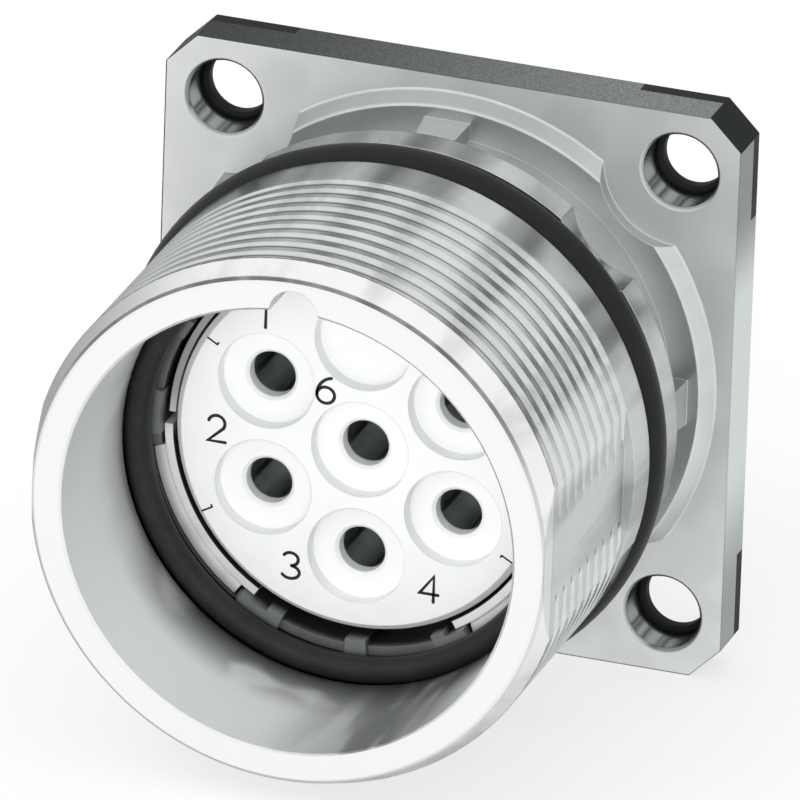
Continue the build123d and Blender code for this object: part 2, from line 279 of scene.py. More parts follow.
def new_group(name, inputs, outputs):
    """Starts a shader node group. Inputs are (name, type, default), outputs (name, type)."""
    tree = bpy.data.node_groups.new(name, "ShaderNodeTree")
    for label, kind, default in inputs:
        socket = tree.interface.new_socket(label, in_out="INPUT", socket_type=kind)
        if default is not None:
            socket.default_value = default
    for label, kind in outputs:
        tree.interface.new_socket(label, in_out="OUTPUT", socket_type=kind)
    source = tree.nodes.new("NodeGroupInput")
    result = tree.nodes.new("NodeGroupOutput")
    return tree, source.outputs, result.inputs


def build_place():
    """Place on the connector in millimetres, with the distances that its finishes change by."""
    names = ("Radius", "Ahead", "Reach", "Corner", "Hole", "Side", "Right", "Up")
    tree, _, result = new_group("Connector place", [], [
        ("Place", "NodeSocketVector"), *((name, "NodeSocketFloat") for name in names)])
    coords = new_node(tree, "ShaderNodeTexCoord")
    place = scaled(tree, coords.outputs["Object"], 1 / MM)
    x, y, z = new_node(tree, "ShaderNodeSeparateXYZ", {0: place}).outputs

    def distance(first, second):
        """Distance over two sides at right angles."""
        squares = (math_node(tree, "MULTIPLY", leg, leg) for leg in (first, second))
        return math_node(tree, "SQRT", math_node(tree, "ADD", *squares))

    side, height = math_node(tree, "ABSOLUTE", x), math_node(tree, "ABSOLUTE", z)
    hole_at = bpy.context.scene.connector_gasket.screw_spacing / 2 / MM
    values = {
        "Place": place,
        "Radius": distance(x, z),
        "Ahead": math_node(tree, "SUBTRACT", FLANGE_FRONT / MM, y),
        "Reach": math_node(tree, "MAXIMUM", side, height),
        "Corner": math_node(tree, "ADD", side, height),
        "Hole": distance(*(math_node(tree, "SUBTRACT", value, hole_at) for value in (side, height))),
        "Side": side,
        "Right": x,
        "Up": z,
    }
    for name, value in values.items():
        tree.links.new(value, result[name])


def build_patches():
    """Soft patches of a second tone, with a matching change of roughness."""
    tree, source, result = new_group("Soft patches", [
        ("Place", "NodeSocketVector", None), ("Size", "NodeSocketFloat", 3.0),
        ("Amount", "NodeSocketFloat", 0.5), ("Main", "NodeSocketColor", (0.8, 0.8, 0.8, 1)),
        ("Second", "NodeSocketColor", (0.6, 0.6, 0.6, 1)), ("Roughness", "NodeSocketFloat", 0.3),
        ("Roughness change", "NodeSocketFloat", 0.1)],
        [("Colour", "NodeSocketColor"), ("Roughness", "NodeSocketFloat")])
    scale = math_node(tree, "DIVIDE", 1.0, source["Size"])
    patches = noise(tree, source["Place"], scale, 5.0, Roughness=0.6, Distortion=0.4)
    mask = zone(tree, (patches, 0.38, 0.7), source["Amount"])
    tree.links.new(mix_colour(tree, mask, source["Main"], source["Second"]), result["Colour"])
    extra = math_node(tree, "MULTIPLY", mask, source["Roughness change"])
    tree.links.new(math_node(tree, "ADD", source["Roughness"], extra), result["Roughness"])


def build_grain():
    """Fine grain with small pits, as cast and moulded skins have."""
    tree, source, result = new_group("Fine grain", [
        ("Place", "NodeSocketVector", None), ("Size", "NodeSocketFloat", 0.2),
        ("Pits", "NodeSocketFloat", 0.3)],
        [("Height", "NodeSocketFloat"), ("Speckle", "NodeSocketFloat")])
    scale = math_node(tree, "DIVIDE", 1.0, source["Size"])
    grain = noise(tree, source["Place"], scale, 4.0, Roughness=0.7)
    cells = new_node(tree, "ShaderNodeTexVoronoi", {"Vector": source["Place"],
                                                    "Scale": math_node(tree, "MULTIPLY", scale, 0.7)},
                     feature="F1")
    pits = zone(tree, (cells.outputs["Distance"], 0.1, 0.45, 1.0, 0.0), source["Pits"])
    tree.links.new(math_node(tree, "SUBTRACT", grain, pits), result["Height"])
    tree.links.new(smooth_step(tree, grain, 0.35, 0.68), result["Speckle"])


def build_turning():
    """Fine rings left by a turning tool along a distance that is given in millimetres."""
    tree, source, result = new_group("Turning marks", [
        ("Distance", "NodeSocketFloat", 0.0), ("Place", "NodeSocketVector", None),
        ("Spacing", "NodeSocketFloat", 0.15)],
        [("Height", "NodeSocketFloat")])
    waver = math_node(tree, "MULTIPLY", noise(tree, source["Place"], 0.35, 2.0), 0.3)
    bent = math_node(tree, "ADD", source["Distance"], waver)
    lines = new_node(tree, "ShaderNodeTexNoise", {"W": math_node(tree, "DIVIDE", bent, source["Spacing"]),
                                                  "Scale": 1.0, "Detail": 3.0, "Roughness": 0.8},
                     noise_dimensions="1D")
    tree.links.new(lines.outputs["Fac"], result["Height"])


def use_group(tree, name, inputs=None):
    """Places a shared effect in a material, with its links and values, and returns its outputs."""
    return new_node(tree, "ShaderNodeGroup", inputs, node_tree=bpy.data.node_groups[name]).outputs


def two_tones(tree, place, main, second, size, amount, roughness, change):
    """Soft patches of a second colour, whose roughness changes too."""
    return use_group(tree, "Soft patches", {
        "Place": place["Place"], "Size": size, "Amount": amount, "Main": (*main, 1), "Second": (*second, 1),
        "Roughness": roughness, "Roughness change": change})


def new_material(name, **plain):
    """A material with one Principled shader. Plain values go straight to the shader's own sockets."""
    material = bpy.data.materials.new(name)
    material.use_nodes = True
    shader = material.node_tree.nodes["Principled BSDF"]
    for key, value in plain.items():
        shader.inputs[key.replace("_", " ")].default_value = value
    return material, material.node_tree, shader.inputs


def lay_on(tree, shader, colour, roughness):
    """Feeds the shader its colour and its roughness."""
    tree.links.new(colour, shader["Base Color"])
    tree.links.new(roughness, shader["Roughness"])


def rounded_bump(tree, shader, height, depth, radius):
    """Rounds the edges by radius and lays the height on them as a bump of this depth."""
    bevel = new_node(tree, "ShaderNodeBevel", {"Radius": radius}, samples=6)
    bump = new_node(tree, "ShaderNodeBump", {"Strength": 1.0, "Distance": depth, "Height": height,
                                             "Normal": bevel.outputs[0]})
    tree.links.new(bump.outputs[0], shader["Normal"])


def dress(name, material):
    """Gives a CAD node its material."""
    slots = nodes[name].data.materials
    slots.clear()
    slots.append(material)


def painted_shade_and_dull_plating(tree, place, colour, zones):
    """Lays dull plating on the flats, the rim line and the face, and painted shade and reflections on the
    pad's slope, the bore, the lip and the barrel's left.
    """
    ahead_of, radius, right, up = (place[name] for name in ("Ahead", "Radius", "Right", "Up"))
    along = new_node(tree, "ShaderNodeVectorMath", {0: place["Place"], 1: (1.0, 0.12, 1.0)},
                     operation="MULTIPLY")
    streak = noise(tree, along.outputs[0], 0.55, 3.0, Roughness=0.5)
    smudge = noise(tree, place["Place"], 0.4, 1.0, Roughness=0.4)
    # Painted reflection: the pad's slope darker, more of it on the left
    slope_painted_reflection = zone(tree, (ahead_of, 0.04, 0.12), (ahead_of, PAD_TOP - 0.15, PAD_TOP - 0.03, 1.0, 0.0),
                (right, 3.0, 9.0, 1.0, 0.2))
    # Painted reflection of the dark inner seal: smudges deep in the bore, fading towards the front, stronger
    # low down
    near = zone(tree, zones["tube"], (ahead_of, BORE_BACK + 0.6, BORE_BACK + 4.0, 1.0, 0.0),
                (smudge, 0.32, 0.52, 0.25, 1.0), (up, -7.5, -3.5, 1.0, 0.2))
    brink = zone(tree, (ahead_of, RIM_CHAMFER - 0.02, RIM_CHAMFER + 0.04),
                 (radius, RIM_R + 0.1, RIM_R + 0.12), (up, 1.0, 8.5, 0.3, 1.0), (streak, 0.35, 0.6, 0.8, 1.0))
    # Painted reflection of the seal: streaked dark at the bottom of the bore
    low = zone(tree, (up, -8.2, -5.5, 1.0, 0.0), (right, -2.0, 3.5), (streak, 0.38, 0.56, 0.5, 1.0),
               zones["bore"])
    # Painted shadow: the lip's inner face nearly black where it meets the inner seal
    lip = zone(tree, (radius, LIP_R + 0.05, LIP_R + 0.09, 1.0, 0.0),
               (ahead_of, LIP_FRONT + 0.05, LIP_FRONT + 0.15, 1.0, 0.0))
    lead_in = zone(tree, zones["front"], (radius, RIM_R + 0.15, RIM_R + 0.2, 0.0, 0.7))
    # Painted reflection of darker surroundings: the barrel's left and streaks, on the body and the thread's
    # lead-in
    left_painted_reflection = math_node(tree, "MAXIMUM", smooth_step(tree, right, -11.0, -4.0, 0.9, 0.0),
                     smooth_step(tree, streak, 0.45, 0.68, 0.0, 0.45))
    left_painted_reflection = math_node(tree, "MULTIPLY", left_painted_reflection, math_node(tree, "ADD", zones["body"], lead_in))
    cloud = zone(tree, zones["face"], (smudge, 0.35, 0.65, 0.0, 0.16))
    # Each mask with its share and its tone: dull plating on the flats, the rim line and the face's clouds,
    # painted shade and reflections elsewhere
    for mask, part, tone_there in ((zones["flat"], 0.6, 1.6), (slope_painted_reflection, 0.7, 0.7), (near, 0.9, 0.4),
                                   (brink, 0.95, 0.25), (low, 0.75, 0.2), (lip, 1.0, 0.03),
                                   (left_painted_reflection, 0.8, 0.4), (cloud, 1.0, 0.8)):
        dull = toned(bpy.context.scene.connector_finish.plating_dull_and_shade, tone_there)
        colour = mix_colour(tree, math_node(tree, "MULTIPLY", mask, part), colour, dull)
    return colour


def groove_dirt_and_painted_shade(tree, place, roughness):
    """Mask of the thread's grooves, which hold dull plating, old grease and painted shade, more of it on the
    left.
    """
    thread = bpy.context.scene.connector_thread
    sizes = (thread.root_r, thread.flat_at, thread.back, thread.front)
    root, flat, back, front = (size / MM for size in sizes)
    # The radius is shifted so that the painted shade reaches higher up the flanks on the left
    shade_radius = math_node(tree, "ADD", place["Radius"], smooth_step(tree, place["Right"], -9.0, 7.0, -0.1, 0.04))
    return zone(tree, (shade_radius, root + 0.18, root + 0.24, 1.0, 0.0), (place["Radius"], root - 0.2, root - 0.12),
                (place["Ahead"], back - 0.1, back), (place["Ahead"], front + 0.1, front),
                (place["Side"], flat - 0.03, flat - 0.8), (roughness, 0.3, 0.36, 0.8, 0.97))


def edge_skin_and_painted_light(tree, place, speckle):
    """Colour of the rough cast skin, speckled but for the right edge, with painted light: darkest at the
    left, and on the right edge lightest about its middle.
    """
    right, up = place["Right"], place["Up"]
    at_right = (right, FLANGE_HALF - 0.06, FLANGE_HALF - 0.03)
    # Painted light: the skin's tone rises from left to right, and on the right edge falls off towards its top
    # and bottom
    tone_there = math_node(tree, "ADD", smooth_step(tree, right, -FLANGE_HALF, 10.0, 1.0, 3.2),
                           zone(tree, at_right, (up, 4.0, 8.5, 4.7, 0.7), (up, -9.0, -3.0, 0.3, 1.0)))
    rise = zone(tree, math_node(tree, "SUBTRACT", speckle, 0.4), (*at_right, 1.0, 0.1))
    rise = math_node(tree, "ADD", 1.0, math_node(tree, "MULTIPLY", rise, 0.75))
    skin = bpy.context.scene.connector_finish.edge_skin_and_painted_light
    return scaled(tree, skin, math_node(tree, "MULTIPLY", tone_there, rise))


def casting_zones(tree, place):
    """Masks of the casting's main places, by name."""
    thread = bpy.context.scene.connector_thread
    thread_front, flat_at = thread.front / MM, thread.flat_at / MM
    ahead_of, radius = place["Ahead"], place["Radius"]
    outside = (radius, BORE_R + 0.06, BORE_R + 0.09)
    zones = {
        "face": zone(tree, (ahead_of, 0.02, 0.05, 1.0, 0.0)),
        "hole": zone(tree, (place["Hole"], HOLE_R + 0.04, HOLE_R + 0.16, 1.0, 0.0)),
        "bore": zone(tree, (*outside, 1.0, 0.0), (ahead_of, BORE_BACK, BORE_BACK + 0.05)),
        "tube": zone(tree, (radius, BORE_R + 0.03, BORE_R + 0.06, 1.0, 0.0)),
        "front": zone(tree, (ahead_of, thread_front - 0.02, thread_front + 0.06), outside),
        "flat": zone(tree, (place["Side"], flat_at - 0.03, flat_at - 0.01),
                     (ahead_of, SEAL_FRONT - 0.2, SEAL_FRONT - 0.1)),
        "edge": zone(tree, (place["Reach"], FLANGE_HALF - 0.06, FLANGE_HALF - 0.03)),
        "corner": zone(tree, (place["Corner"], CORNER_AT - 0.05, CORNER_AT - 0.02)),
    }
    behind_front = math_node(tree, "SUBTRACT", 1.0, zones["front"])
    zones["body"] = zone(tree, (ahead_of, COLLAR_BACK - 0.2, COLLAR_BACK), outside, behind_front)
    return zones


def plated_casting():
    """Satin plating on the die-casting, with the rough dark skin on the flange's four edges, and painted
    shade, light and reflections laid on them.
    """
    if "cast_plating" in bpy.data.materials:
        return bpy.data.materials["cast_plating"]
    finish = bpy.context.scene.connector_finish
    material, tree, shader = new_material("cast_plating", Metallic=1.0, Specular_Tint=(0.5, 0.52, 0.52, 1.0))
    place = use_group(tree, "Connector place")
    main = two_tones(tree, place, finish.plating, finish.plating_dull_and_shade, 4.0, 0.35,
                     finish.plating_roughness, 0.1)
    grain = use_group(tree, "Fine grain", {"Place": place["Place"], "Size": 0.065, "Pits": 0.2})
    zones = casting_zones(tree, place)
    colour = main["Colour"]
    for name, tint in (("face", finish.cast_face), ("hole", finish.hole_wall), ("bore", finish.bore),
                       ("front", finish.turned_face)):
        colour = mix_colour(tree, zones[name], colour, tint)
    colour = painted_shade_and_dull_plating(tree, place, colour, zones)
    # Dull plating, old grease and painted shade in the thread's grooves, in the corners' colour
    colour = mix_colour(tree, groove_dirt_and_painted_shade(tree, place, main["Roughness"]), colour, finish.corner)
    colour = mix_colour(tree, zones["edge"], colour, edge_skin_and_painted_light(tree, place, grain["Speckle"]))
    colour = mix_colour(tree, zones["corner"], colour, finish.corner)
    rough = main["Roughness"]
    for name, change in (("hole", -0.36), ("face", 0.25), ("body", -0.1), ("flat", 0.25), ("tube", 0.2),
                         ("edge", 0.2), ("corner", -0.1)):
        rough = math_node(tree, "ADD", rough, math_node(tree, "MULTIPLY", zones[name], change))
    lay_on(tree, shader, colour, rough)
    turning = use_group(tree, "Turning marks", {"Distance": place["Ahead"], "Place": place["Place"],
                                                "Spacing": 0.12})
    grained = math_node(tree, "MULTIPLY", grain["Height"], math_node(tree, "ADD", 0.03, zones["edge"]))
    height = math_node(tree, "ADD", math_node(tree, "MULTIPLY", turning["Height"], 0.2), grained)
    rounded_bump(tree, shader, height, depth=0.008 * MM, radius=0.07 * MM)
    return material


def seal_rubber():
    """Smooth black rubber, with painted light that makes the inner ring lighter than the outer one."""
    rubber = bpy.context.scene.connector_finish.rubber
    material, tree, shader = new_material("ring_rubber", Specular_IOR_Level=0.22)
    place = use_group(tree, "Connector place")
    main = two_tones(tree, place, rubber, toned(rubber, 1.7), 1.6, 0.5, 0.42, 0.15)
    grain = use_group(tree, "Fine grain", {"Place": place["Place"], "Size": 0.1, "Pits": 0.2})
    # Painted light: the inner ring lighter and the outer one darker
    ring_painted_light = smooth_step(tree, place["Radius"], BORE_R + 0.2, BORE_R + 0.3, 1.5, 0.6)
    lay_on(tree, shader, scaled(tree, main["Colour"], ring_painted_light), main["Roughness"])
    rounded_bump(tree, shader, grain["Height"], depth=0.006 * MM, radius=0.05 * MM)
    return material


def gasket_rubber():
    """Matte black rubber sheet."""
    rubber = bpy.context.scene.connector_finish.rubber
    material, tree, shader = new_material("sheet_rubber", Specular_IOR_Level=0.12)
    place = use_group(tree, "Connector place")
    main = two_tones(tree, place, toned(rubber, 1.2), toned(rubber, 2.0), 1.2, 0.7, 0.55, 0.2)
    grain = use_group(tree, "Fine grain", {"Place": place["Place"], "Size": 0.14, "Pits": 0.5})
    lay_on(tree, shader, main["Colour"], main["Roughness"])
    rounded_bump(tree, shader, grain["Height"], depth=0.012 * MM, radius=0.06 * MM)
    return material


def moulded(name, colour, second, roughness, radius, gloss=0.45, shade=None):
    """Moulded plastic with a fine skin. Shade, where given, paints shade and light by depth: it has the
    places ahead of the flange between which its colour changes, and what it is multiplied by there."""
    material, tree, shader = new_material(name, Specular_IOR_Level=gloss)
    place = use_group(tree, "Connector place")
    main = two_tones(tree, place, colour, second, 2.4, 0.6, roughness, 0.1)
    grain = use_group(tree, "Fine grain", {"Place": place["Place"], "Size": 0.09, "Pits": 0.1})
    colour = main["Colour"]
    if shade:
        colour = scaled(tree, colour, smooth_step(tree, place["Ahead"], *shade))
    lay_on(tree, shader, colour, main["Roughness"])
    rounded_bump(tree, shader, grain["Height"], depth=0.003 * MM, radius=radius)
    return material


def shield_shade(tree, place, colour, tint):
    """Paints shade on the shield: on its ledges, more of it towards the seal, on its upper side, and dark on
    its lower inner wall.
    """
    radius = place["Radius"]
    upper = smooth_step(tree, place["Up"], -1.0, 1.5)
    lower = math_node(tree, "SUBTRACT", 1.0, upper)
    ledges = math_node(tree, "ADD", smooth_step(tree, radius, SHIELD_R, SHIELD_R + 0.02, 0.0, 0.25),
                       smooth_step(tree, radius, SHIELD_R, SHIELD_R + 0.45, 0.0, 0.6))
    wall = zone(tree, (radius, SHIELD_R - 0.37, SHIELD_R - 0.34, 1.0, 0.0), lower)
    # Each mask of painted shade with the tone there
    for mask, tone_there in ((ledges, 0.22), (wall, 0.02), (math_node(tree, "MULTIPLY", upper, 0.75), 0.22)):
        colour = mix_colour(tree, mask, colour, toned(tint, tone_there))
    return colour


def turned_metal(name, tint, roughness, spacing, radius, metallic=1.0, shade=None):
    """Turned or rolled metal with fine marks along the axis. Shade, where given, paints shade on its colour
    by place.
    """
    material, tree, shader = new_material(name, Metallic=metallic)
    place = use_group(tree, "Connector place")
    main = two_tones(tree, place, tint, toned(tint, 0.75), 1.5, 0.5, roughness, 0.12)
    turning = use_group(tree, "Turning marks", {"Distance": place["Ahead"], "Place": place["Place"],
                                                "Spacing": spacing})
    colour = shade(tree, place, main["Colour"], tint) if shade else main["Colour"]
    lay_on(tree, shader, colour, main["Roughness"])
    rounded_bump(tree, shader, turning["Height"], depth=0.004 * MM, radius=radius)
    return material


def printing_ink():
    """Matte ink that lies slightly uneven."""
    ink = bpy.context.scene.connector_print.colour
    material, tree, shader = new_material("printing_ink", Specular_IOR_Level=0.3)
    place = use_group(tree, "Connector place")
    main = two_tones(tree, place, ink, toned(ink, 3.0), 0.3, 0.6, 0.5, 0.2)
    lay_on(tree, shader, main["Colour"], main["Roughness"])
    return material


def mesh_piece(name, points, faces, material, smooth=True):
    """Makes a mesh piece from points in metres, and lets it ride on the connector."""
    mesh = bpy.data.meshes.new(name)
    mesh.from_pydata(points, [], faces)
    mesh.validate()
    piece = bpy.data.objects.new(name, mesh)
    bpy.context.scene.collection.objects.link(piece)
    mesh.materials.append(material)
    for face in mesh.polygons:
        face.use_smooth = smooth
    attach(piece, BODY)
    return piece


def lathe(centre, profile, steps=64):
    """Points and faces of a closed profile turned round an axis along Y through this point."""
    points, faces = [], []
    for step in range(steps):
        turn = math.tau * step / steps
        for radius, y in profile:
            points.append((centre[0] + radius * math.cos(turn), y, centre[1] + radius * math.sin(turn)))
    count = len(profile)
    for step in range(steps):
        here, there = step * count, (step + 1) % steps * count
        for corner in range(count):
            other = (corner + 1) % count
            faces.append((here + corner, here + other, there + other, there + corner))
    return points, faces


def arc(centre, radii, start, end, steps=14):
    """Points on an arc of an ellipse, with its angles in degrees."""
    angles = [math.radians(start + (end - start) * step / steps) for step in range(steps + 1)]
    return [(centre[0] + radii[0] * math.cos(a), centre[1] + radii[1] * math.sin(a)) for a in angles]


def ribbon(points, width, y):
    """Points and faces of a flat stroke along these points, in the plane at y, with round ends."""
    line = [Vector(p) for p in points]
    left, right = [], []
    for index, point in enumerate(line):
        before = line[max(index - 1, 0)]
        after = line[min(index + 1, len(line) - 1)]
        run_in, run_out = (point - before).normalized(), (after - point).normalized()
        if not run_in.length:
            run_in = run_out
        if not run_out.length:
            run_out = run_in
        along = (run_in + run_out).normalized()
        side = Vector((-along.y, along.x))
        turn = abs(along.dot(run_out))
        reach = width / 2 / max(turn, 0.5)
        left.append(point + side * reach)
        right.append(point - side * reach)
    ends = []
    for point, toward in ((line[-1], line[-1] - line[-2]), (line[0], line[0] - line[1])):
        base = math.atan2(toward.y, toward.x)
        ends.append([point + Vector((math.cos(base + s), math.sin(base + s))) * width / 2
                     for s in (math.pi / 3, 0, -math.pi / 3)])
    count = len(line)
    flat = left + right + ends[0] + ends[1]
    faces = [(i, i + 1, count + i + 1, count + i) for i in range(count - 1)]
    faces.append((count - 1, 2 * count, 2 * count + 1, 2 * count + 2, 2 * count - 1))
    faces.append((count, 2 * count + 3, 2 * count + 4, 2 * count + 5, 0))
    return [(p.x, y, p.y) for p in flat], faces


def add_shape(points, faces, more_points, more_faces):
    """Adds a shape's points and faces to the lists of a piece."""
    first = len(points)
    points.extend(more_points)
    faces.extend([tuple(first + corner for corner in face) for face in more_faces])


class CONNECTOR_OT_casting(bpy.types.Operator):
    """Gives the die-cast shell its plated finish"""

    bl_idname = "connector.casting"
    bl_label = "Die-cast shell"

    def execute(self, context):
        dress("shell", plated_casting())
        return {"FINISHED"}


def thread_profile(thread, turns):
    """Place and radius of the thread's skin across one turn, at this many turns from its start."""
    half_top, half_root = thread.groove_top / 2, thread.groove_root / 2
    depth = thread.outer_r - thread.root_r - thread.cover
    total = (thread.front - thread.back) / thread.pitch
    near = [0.0, half_root, (half_root + half_top) / 2, half_top, half_top + thread.shoulder,
            thread.pitch / 2]
    places = near + [thread.pitch - step for step in reversed(near[:-1])]
    groove_at = thread.front - turns * thread.pitch

    def sink(distance, groove_turns):
        """Depth of one pass of the groove at this distance from its middle."""
        run = min(groove_turns, total - groove_turns)
        strength = min(max(run / thread.run_out, 0.0), 1.0)
        slope = min(max((abs(distance) - half_root) / (half_top - half_root), 0.0), 1.0)
        return depth * strength * (1 - slope)

    for step in places:
        along = min(max(groove_at - step, thread.back), thread.front)
        behind = groove_at - along
        cut = max(sink(behind, turns), sink(thread.pitch - behind, turns + 1))
        yield along, thread.outer_r - cut


class CONNECTOR_OT_thread(bpy.types.Operator):
    """Makes the right-hand coupling thread on the casting's root cylinder"""

    bl_idname = "connector.thread"
    bl_label = "Coupling thread"

    def execute(self, context):
        thread = context.scene.connector_thread
        turns = round((thread.front - thread.back) / thread.pitch)
        points, faces = [], []
        flat = thread.flat_at + thread.cover
        for step in range(-thread.steps, turns * thread.steps + 1):
            turn = math.tau * step / thread.steps
            for along, radius in thread_profile(thread, step / thread.steps):
                x = min(max(-radius * math.sin(turn), -flat), flat)
                points.append((x, ahead(along), -radius * math.cos(turn)))
        rows = (turns + 1) * thread.steps
        across = len(points) // (rows + 1)
        for row in range(rows):
            for column in range(across - 1):
                corner = row * across + column
                faces.append((corner, corner + across, corner + across + 1, corner + 1))
        piece = mesh_piece("coupling_thread", points, faces, plated_casting())
        shape = bmesh.new()
        shape.from_mesh(piece.data)
        bmesh.ops.remove_doubles(shape, verts=shape.verts, dist=thread.cover / 2)
        shape.to_mesh(piece.data)
        shape.free()
        piece.data.set_sharp_from_angle(angle=thread.sharp_from)
        return {"FINISHED"}


class CONNECTOR_OT_seals(bpy.types.Operator):
    """Gives the two sealing rings their rubber"""

    bl_idname = "connector.seals"
    bl_label = "Sealing rings"

    def execute(self, context):
        rubber = seal_rubber()
        dress("outer_seal", rubber)
        dress("inner_seal", rubber)
        return {"FINISHED"}


class CONNECTOR_OT_gasket(bpy.types.Operator):
    """Finishes the flange gasket, and adds the soft lips that narrow its screw holes"""

    bl_idname = "connector.gasket"
    bl_label = "Flange gasket"

    def execute(self, context):
        gasket = context.scene.connector_gasket
        rubber = gasket_rubber()
        dress("flange_gasket", rubber)
        low, high = (corner.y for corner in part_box("flange_gasket"))
        low, high = low + gasket.play, high - gasket.play
        inner, outer, round_r = gasket.lip_inner_r, gasket.lip_outer_r, gasket.lip_round
        half = gasket.screw_spacing / 2
        profile = [(outer, high), (outer, low)]
        profile += arc((inner + round_r, low + round_r), (round_r, round_r), 270, 180, 5)
        profile += arc((inner + round_r, high - round_r), (round_r, round_r), 180, 90, 5)
        points, faces = [], []
        for x in (-half, half):
            for z in (-half, half):
                add_shape(points, faces, *lathe((x, z), profile))
        mesh_piece("screw_hole_lips", points, faces, rubber)
        return {"FINISHED"}


def figure_strokes(figure):
    """Strokes of a plain number in a box that is one wide and one high."""
    return {
        "1": [[(0.25, 0.78), (0.55, 1.0), (0.55, 0.0)]],
        "2": [arc((0.5, 0.7), (0.45, 0.3), 165, -35) + [(0.05, 0.0), (1.0, 0.0)]],
        "3": [arc((0.48, 0.75), (0.42, 0.25), 150, -90) + arc((0.48, 0.25), (0.5, 0.25), 90, -150)],
        "4": [[(0.75, 0.0), (0.75, 1.0), (0.0, 0.3), (1.0, 0.3)]],
        "5": [[(0.92, 1.0), (0.18, 1.0), (0.1, 0.56)] + arc((0.46, 0.33), (0.5, 0.33), 125, -145)],
        "6": [arc((0.95, 0.32), (0.93, 0.68), 100, 180, 9) + arc((0.5, 0.31), (0.48, 0.31), 180, 540, 22)],
    }[figure]


class CONNECTOR_OT_insert(bpy.types.Operator):
    """Finishes the white insert, and prints its numbers and index ticks"""

    bl_idname = "connector.insert"
    bl_label = "Insert and its print"

    def execute(self, context):
        finish, ink = context.scene.connector_finish, context.scene.connector_print
        dress("contact_insert", moulded("white_moulding", finish.white, toned(finish.white, 0.96),
                                        roughness=0.42, radius=0.08 * MM))
        face_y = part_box("contact_insert")[0].y - ink.proud
        points, faces = [], []
        for figure, (x, z) in NUMBERS_AT.items():
            for stroke in figure_strokes(figure):
                line = [(x * MM + (u - 0.5) * ink.width, z * MM + (v - 0.5) * ink.height) for u, v in stroke]
                add_shape(points, faces, *ribbon(line, ink.stroke, face_y))
        for degrees in TICKS_AT:
            turn = math.radians(degrees)
            out, side = Vector((math.cos(turn), math.sin(turn))), Vector((-math.sin(turn), math.cos(turn)))
            start, end = out * ink.tick_from, out * ink.tick_to
            add_shape(points, faces, *ribbon([start, end], ink.tick, face_y))
            add_shape(points, faces, *ribbon([start, start - side * ink.tick_hook], ink.tick, face_y))
        mesh_piece("insert_print", points, faces, printing_ink(), smooth=False)
        return {"FINISHED"}


class CONNECTOR_OT_coding(bpy.types.Operator):
    """Gives the toothed coding ring its black plastic"""

    bl_idname = "connector.coding"
    bl_label = "Coding ring"

    def execute(self, context):
        finish = context.scene.connector_finish
        # The coding ring gets painted shade deep behind the lip and painted light on the fronts of its teeth
        dress("coding_ring", moulded("black_moulding", finish.black, toned(finish.black, 1.3),
                                     roughness=0.4, radius=0.05 * MM, gloss=0.5,
                                     shade=(LIP_FRONT - 0.75, LIP_FRONT - 0.05, 0.12, 1.35)))
        return {"FINISHED"}


class CONNECTOR_OT_shield(bpy.types.Operator):
    """Gives the shield ring its bright sheet metal"""

    bl_idname = "connector.shield"
    bl_label = "Shield ring"

    def execute(self, context):
        finish = context.scene.connector_finish
        dress("shield_ring", turned_metal("bright_sheet", finish.shield, roughness=0.45, spacing=0.2,
                                          radius=0.04 * MM, metallic=0.3, shade=shield_shade))
        return {"FINISHED"}


class CONNECTOR_OT_contacts(bpy.types.Operator):
    """Finishes the six socket contacts and their spring sleeves"""

    bl_idname = "connector.contacts"
    bl_label = "Contacts"

    def execute(self, context):
        finish = context.scene.connector_finish
        plated = turned_metal("socket_plating", finish.contact, roughness=0.34, spacing=0.1, radius=0.05 * MM)
        spring = turned_metal("spring_strip", finish.spring, roughness=0.32, spacing=0.15, radius=0.03 * MM)
        for name in nodes:
            if name.startswith("socket_contact"):
                dress(name, plated)
            elif name.startswith("spring_sleeve") or name == "retaining_ring":
                dress(name, spring)
        return {"FINISHED"}


class CONNECTOR_OT_back(bpy.types.Operator):
    """Finishes the rear insulator"""

    bl_idname = "connector.back"
    bl_label = "Rear insulator"

    def execute(self, context):
        dress("rear_insulator", bpy.data.materials["white_moulding"])
        return {"FINISHED"}


def soft_lamp(name, place, colour, power):
    """An area lamp at this place, turned towards the connector, which leaves no highlight on the metal."""
    light = bpy.data.lights.new(name, "AREA")
    light.shape = "RECTANGLE"
    light.size = light.size_y = LAMP_SIDE
    light.energy = power
    light.color = colour
    lamp = bpy.data.objects.new(name, light)
    lamp.location = place
    lamp.rotation_euler = (Vector(LAMP_AIM) - Vector(place)).to_track_quat("-Z", "Y").to_euler()
    lamp.visible_glossy = False
    bpy.context.scene.collection.objects.link(lamp)


def floor_paper(stage):
    """Pale paper, which the camera and the metal see nearly white, with a faint shadow."""
    paper, tree, _ = new_material("floor_paper", Base_Color=(*stage.floor, 1), Roughness=0.9,
                                  Specular_IOR_Level=0.1)
    path = new_node(tree, "ShaderNodeLightPath").outputs
    seen = math_node(tree, "MAXIMUM", path["Is Camera Ray"], path["Is Glossy Ray"])
    seen = math_node(tree, "MAXIMUM", seen, path["Is Transmission Ray"])
    glow = new_node(tree, "ShaderNodeEmission", {"Color": (1, 1, 1, 1), "Strength": 1.0})
    choice = new_node(tree, "ShaderNodeMixShader", {0: math_node(tree, "MULTIPLY", seen, stage.whiteness),
                                                    1: tree.nodes["Principled BSDF"].outputs[0],
                                                    2: glow.outputs[0]})
    tree.links.new(choice.outputs[0], tree.nodes["Material Output"].inputs["Surface"])
    return paper


